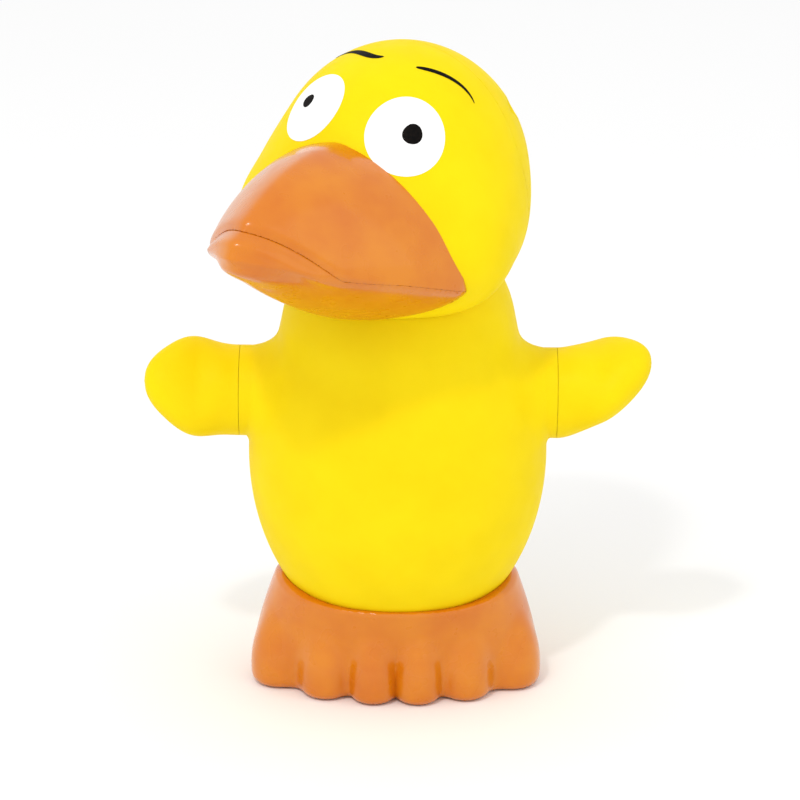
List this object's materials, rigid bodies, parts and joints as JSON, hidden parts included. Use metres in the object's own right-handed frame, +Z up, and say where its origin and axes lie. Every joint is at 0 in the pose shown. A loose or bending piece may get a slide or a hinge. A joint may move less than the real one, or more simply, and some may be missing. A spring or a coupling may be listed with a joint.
{
  "type": "moving mouth puppet",
  "caption": "Standing duck puppet whose head nods and turns on a control stick, with a trigger-worked lower bill and swivelling wings.",
  "frame": {"origin": "on the floor under the middle of the body", "axes": "+Z up, the duck's body faces -Y, +X is to the duck's left"},
  "size_m": [0.1134, 0.0882, 0.1488],
  "materials": {
    "yellow_vinyl": "matte soft vinyl",
    "orange_vinyl": "glossy painted vinyl",
    "white_plastic": "moulded",
    "grey_plastic": "moulded",
    "steel": "drawn",
    "eye_white": "white paint",
    "black_paint": "black paint"
  },
  "bodies": {
    "body": {"feet_base": "orange_vinyl", "base_plate": "orange_vinyl", "base_screw_1": "steel", "base_screw_2": "steel", "base_screw_3": "steel", "base_screw_4": "steel", "belly_screw_front": "steel", "belly_screw_back": "steel", "body_front_shell": "yellow_vinyl", "body_back_shell": "yellow_vinyl", "body_screw_1": "steel", "body_screw_2": "steel", "body_screw_3": "steel", "body_screw_4": "steel", "neck_bracket": "white_plastic", "bracket_screw_left": "steel", "bracket_screw_right": "steel"},
    "left_wing": {"left_wing": "yellow_vinyl"},
    "right_wing": {"right_wing": "yellow_vinyl"},
    "neck_yoke": {"neck_yoke": "grey_plastic"},
    "head": {"control_stick": "white_plastic", "return_spring": "steel", "grip": "grey_plastic", "grip_screw": "steel", "trigger_pin": "steel", "head_frame": "white_plastic", "stick_screw": "steel", "jaw_pin": "steel", "frame_screw_left": "steel", "frame_screw_right": "steel", "head_front_shell": "yellow_vinyl", "head_back_shell": "yellow_vinyl", "head_screw_1": "steel", "head_screw_2": "steel", "head_screw_3": "steel", "head_screw_4": "steel", "upper_beak": "orange_vinyl", "beak_screw_left": "steel", "beak_screw_right": "steel"},
    "lower_beak": {"lower_beak": "orange_vinyl"},
    "push_rod": {"push_rod": "steel"},
    "trigger": {"trigger": "orange_vinyl"}
  },
  "joints": [
    {"name": "left_wing_turn", "type": "hinge", "parent": "body", "child": "left_wing", "pos_m": [0.0358, 0, 0.0678], "axis": [1, 0, 0], "continuous": true},
    {"name": "right_wing_turn", "type": "hinge", "parent": "body", "child": "right_wing", "pos_m": [-0.0358, 0, 0.0678], "axis": [1, 0, 0], "continuous": true},
    {"name": "nod", "type": "hinge", "parent": "body", "child": "neck_yoke", "pos_m": [0, 0, 0.082], "axis": [1, 0, 0], "range_deg": [-10, 8]},
    {"name": "head_turn", "type": "hinge", "parent": "neck_yoke", "child": "head", "pos_m": [0, 0, 0.082], "axis": [0, -0.1132, 0.9936], "range_deg": [-42, 108]},
    {"name": "jaw_open", "type": "hinge", "parent": "head", "child": "lower_beak", "pos_m": [-0.00575, -0.01198, 0.10429], "axis": [0.8526, -0.5191, -0.0591], "range_deg": [0, 15]},
    {"name": "rod_push", "type": "slide", "parent": "head", "child": "push_rod", "axis": [0, -0.1132, 0.9936], "range_m": [0, 0.003], "deforming": ["return_spring"]},
    {"name": "trigger_squeeze", "type": "hinge", "parent": "head", "child": "trigger", "pos_m": [0.0034, 0.00851, 0.0563], "axis": [-0.8526, 0.5191, 0.0591], "range_deg": [0, 26]}
  ],
  "couplings": [
    {"joint": "rod_push", "follows": "jaw_open", "m_per_rad": 0.011},
    {"joint": "trigger_squeeze", "follows": "jaw_open", "ratio": 1.69}
  ]
}
